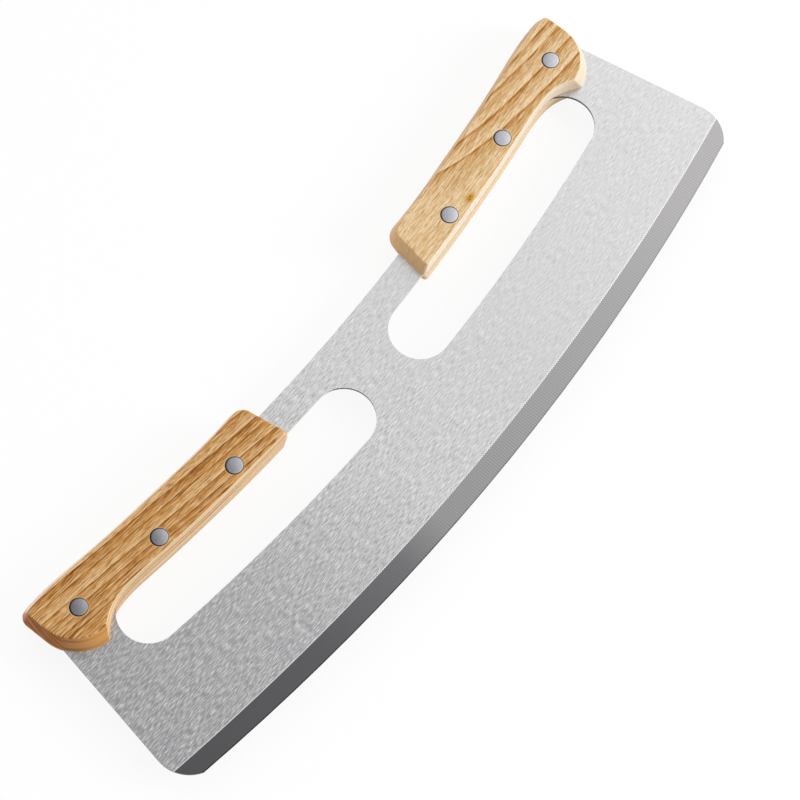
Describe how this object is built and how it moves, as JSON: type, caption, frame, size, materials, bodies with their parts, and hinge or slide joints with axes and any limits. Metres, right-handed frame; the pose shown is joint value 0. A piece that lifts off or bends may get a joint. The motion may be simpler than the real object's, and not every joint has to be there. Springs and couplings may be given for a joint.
{
  "type": "rocking pizza knife",
  "caption": "Rocking knife for pizza: a wide convex steel blade with long curved finger slots, and a wooden handle riveted over the strip above each slot.",
  "frame": {"origin": "under the middle of the whole knife's box, on the plane that the handles' back faces lie on", "axes": "+X along the blade, +Y from the cutting edge towards the handles, +Z out of the face shown in the picture"},
  "size_m": [0.355, 0.11, 0.0175],
  "materials": {
    "blade_steel": "brushed along the blade, ground bevel",
    "left_wood": "oiled, straight grain",
    "right_wood": "oiled, pale, growth rings",
    "rivet_steel": "satin"
  },
  "bodies": {
    "root": {"blade": "blade_steel", "handle_left": "left_wood", "handle_right": "right_wood", "rivet_post_left_inner": "rivet_steel", "rivet_sleeve_left_inner": "rivet_steel", "rivet_post_left_middle": "rivet_steel", "rivet_sleeve_left_middle": "rivet_steel", "rivet_post_left_outer": "rivet_steel", "rivet_sleeve_left_outer": "rivet_steel", "rivet_post_right_inner": "rivet_steel", "rivet_sleeve_right_inner": "rivet_steel", "rivet_post_right_middle": "rivet_steel", "rivet_sleeve_right_middle": "rivet_steel", "rivet_post_right_outer": "rivet_steel", "rivet_sleeve_right_outer": "rivet_steel"}
  },
  "joints": []
}
